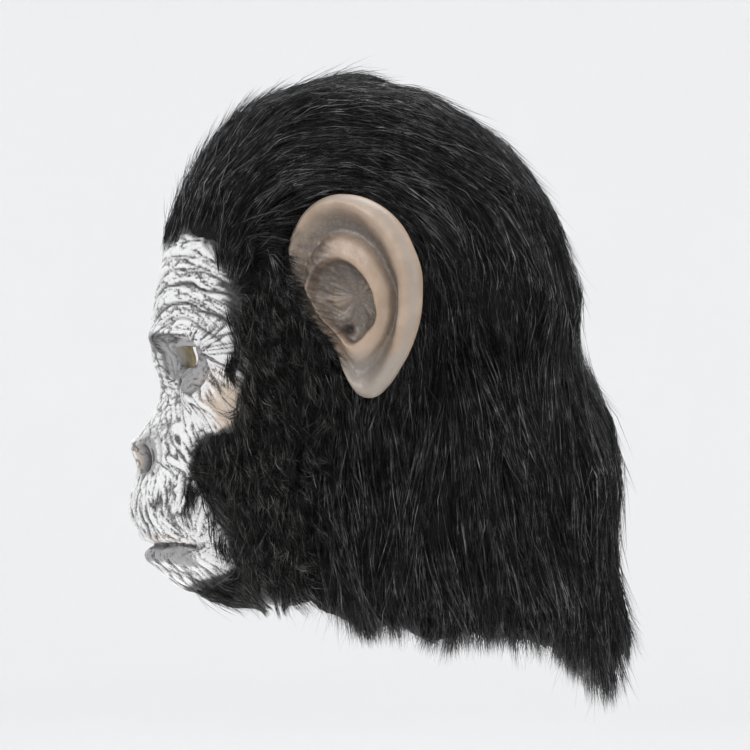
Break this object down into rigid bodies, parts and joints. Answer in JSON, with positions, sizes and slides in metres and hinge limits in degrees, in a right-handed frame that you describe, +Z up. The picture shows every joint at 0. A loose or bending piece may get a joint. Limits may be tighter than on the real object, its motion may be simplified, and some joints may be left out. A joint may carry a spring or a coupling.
{
  "type": "gorilla mask",
  "caption": "Pull-over ape head mask: hollow latex face and skull, large cast ears and long black fur on the crown, cheeks, beard and nape.",
  "frame": {"origin": "the point inside the crown that rests on the top of the wearer's head", "axes": "+Z up, the face looks towards -Y, the wearer's left ear is at +X"},
  "size_m": [0.2614, 0.3071, 0.3852],
  "materials": {
    "face_latex": "grey skin under dry-brushed white, satin, wrinkled",
    "ear_latex": "beige-pink latex with grey-brown shading in the folds, satin",
    "long_fur": "black long-pile faux fur with a soft gloss",
    "short_fur": "black short-pile faux fur, rough and matted"
  },
  "bodies": {
    "root": {"latex_shell": "face_latex", "left_ear": "ear_latex", "right_ear": "ear_latex", "crown_fur": "long_fur", "mane_fur": "long_fur", "left_cheek_fur": "short_fur", "right_cheek_fur": "short_fur", "beard_fur": "short_fur"}
  },
  "joints": []
}
